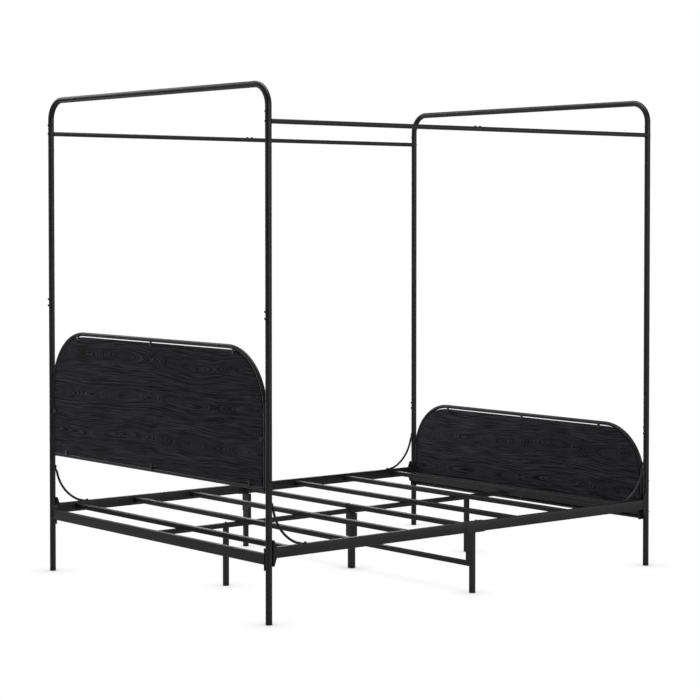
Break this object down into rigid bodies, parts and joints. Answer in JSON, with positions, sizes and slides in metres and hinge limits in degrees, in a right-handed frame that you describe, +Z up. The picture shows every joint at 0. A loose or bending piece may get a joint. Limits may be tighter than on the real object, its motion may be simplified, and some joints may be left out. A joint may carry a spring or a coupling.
{
  "type": "four poster canopy bed",
  "caption": "Queen size canopy bed frame in black steel tube: hooped ends, side canopy bars, arched boards and a slatted base with middle legs.",
  "frame": {"origin": "on the floor, under the middle of the bed", "axes": "+Z up; +Y along the bed towards the head board; +X across the bed, to the right as seen from the foot looking at the head"},
  "size_m": [1.578, 2.116, 2.0517],
  "materials": {
    "powder_coat": "fine-textured black powder coat, low sheen",
    "black_oak": "board with a black-stained oak grain, running across the bed, low sheen",
    "black_plastic": "moulded black plastic, matte"
  },
  "bodies": {
    "root": {"board_arch_foot": "powder_coat", "board_arch_head": "powder_coat", "board_bottom_tube_foot": "powder_coat", "board_bottom_tube_head": "powder_coat", "board_panel_foot_left": "black_oak", "board_panel_foot_right": "black_oak", "board_panel_head_left": "black_oak", "board_panel_head_right": "black_oak", "canopy_bar_left_foot": "powder_coat", "canopy_bar_left_head": "powder_coat", "canopy_bar_right_foot": "powder_coat", "canopy_bar_right_head": "powder_coat", "canopy_hoop_foot": "powder_coat", "canopy_hoop_head": "powder_coat", "centre_bracket": "powder_coat", "centre_leg_foot": "powder_coat", "centre_leg_head": "powder_coat", "centre_leg_middle": "powder_coat", "centre_rail_foot": "powder_coat", "centre_rail_head": "powder_coat", "corner_brace_foot_left": "powder_coat", "corner_brace_foot_right": "powder_coat", "corner_brace_head_left": "powder_coat", "corner_brace_head_right": "powder_coat", "corner_bracket_foot_left": "powder_coat", "corner_bracket_foot_right": "powder_coat", "corner_bracket_head_left": "powder_coat", "corner_bracket_head_right": "powder_coat", "cross_frame_left": "powder_coat", "cross_frame_right": "powder_coat", "end_rail_foot": "powder_coat", "end_rail_head": "powder_coat", "foot_cap_foot_left": "black_plastic", "foot_cap_foot_right": "black_plastic", "foot_cap_head_left": "black_plastic", "foot_cap_head_right": "black_plastic", "lower_post_foot_left": "powder_coat", "lower_post_foot_right": "powder_coat", "lower_post_head_left": "powder_coat", "lower_post_head_right": "powder_coat", "middle_leg_left": "powder_coat", "middle_leg_right": "powder_coat", "rail_joiner_left": "powder_coat", "rail_joiner_right": "powder_coat", "side_rail_left_foot": "powder_coat", "side_rail_left_head": "powder_coat", "side_rail_right_foot": "powder_coat", "side_rail_right_head": "powder_coat", "slat_1": "powder_coat", "slat_2": "powder_coat", "slat_3": "powder_coat", "slat_4_left": "powder_coat", "slat_4_right": "powder_coat", "slat_5": "powder_coat", "slat_6": "powder_coat", "slat_7": "powder_coat", "upper_post_foot_left": "powder_coat", "upper_post_foot_right": "powder_coat", "upper_post_head_left": "powder_coat", "upper_post_head_right": "powder_coat"}
  },
  "joints": []
}
